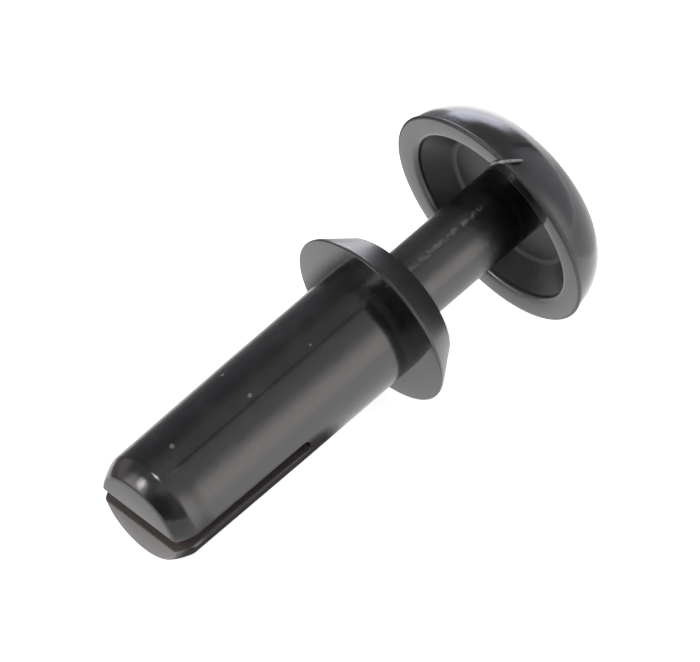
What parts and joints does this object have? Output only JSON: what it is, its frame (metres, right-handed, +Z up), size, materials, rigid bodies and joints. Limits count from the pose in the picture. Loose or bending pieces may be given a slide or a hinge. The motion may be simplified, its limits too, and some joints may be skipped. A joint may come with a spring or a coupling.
{
  "type": "plastic push rivet",
  "caption": "Two-piece plastic push rivet: a split sleeve with a conical flange, and a domed drive pin drawn out before it is pushed home.",
  "frame": {"origin": "middle of the footprint on the surface that the rivet lies on", "axes": "+Z up; the rivet's axis runs in the XZ plane, with the head towards +X and 8.01 degrees higher than the tip; the slit in the sleeve opens along Y"},
  "size_m": [0.0184, 0.0082, 0.0081],
  "materials": {
    "black_nylon": "moulded satin gloss"
  },
  "bodies": {
    "sleeve": {"sleeve": "black_nylon"},
    "pin": {"drive_pin": "black_nylon"}
  },
  "joints": [
    {"name": "pin_slide", "type": "slide", "parent": "sleeve", "child": "pin", "axis": [-0.9902, 0, -0.1393], "range_m": [0, 0.00513]}
  ]
}
